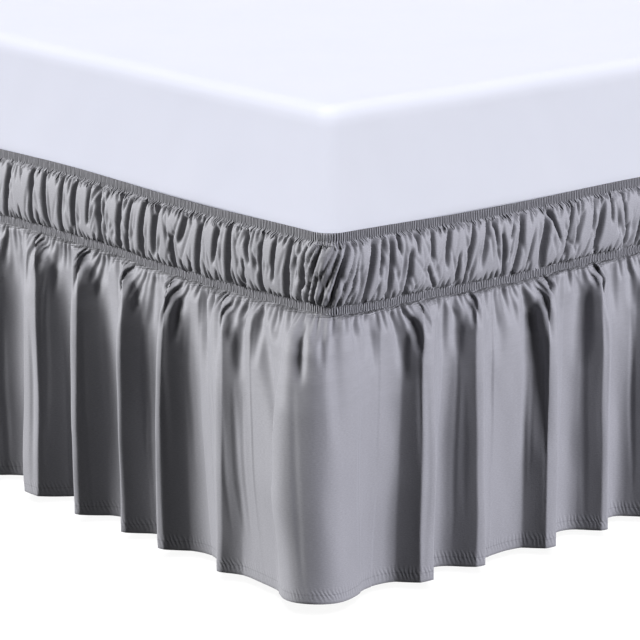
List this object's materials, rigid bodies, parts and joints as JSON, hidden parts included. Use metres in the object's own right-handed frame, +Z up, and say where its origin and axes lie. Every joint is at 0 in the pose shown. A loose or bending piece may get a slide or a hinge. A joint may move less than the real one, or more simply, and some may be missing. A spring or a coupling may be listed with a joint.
{
  "type": "bed skirt on a bed with a mattress",
  "caption": "Gathered cloth bed skirt with two elastics, wrapped round three sides of a single bed and falling to the floor in deep folds.",
  "frame": {"origin": "on the floor, under the middle of the bounding box", "axes": "+Z up, +Y from the foot end to the head end, +X to the right seen from the foot end"},
  "size_m": [1.1242, 1.9699, 0.5533],
  "materials": {
    "skirt_cloth": "brushed grey microfibre, faint sheen",
    "elastic": "ribbed woven elastic",
    "sheet": "smooth white cotton sheet",
    "ticking": "plain woven cover",
    "wood": "satin"
  },
  "bodies": {
    "root": {"mattress": "sheet", "base": "ticking", "leg_foot_left": "wood", "leg_foot_right": "wood", "leg_middle_left": "wood", "leg_middle_right": "wood", "leg_head_left": "wood", "leg_head_right": "wood", "elastic_top": "elastic", "elastic_lower": "elastic", "panel_left": "skirt_cloth", "panel_foot": "skirt_cloth", "panel_right": "skirt_cloth"}
  },
  "joints": []
}
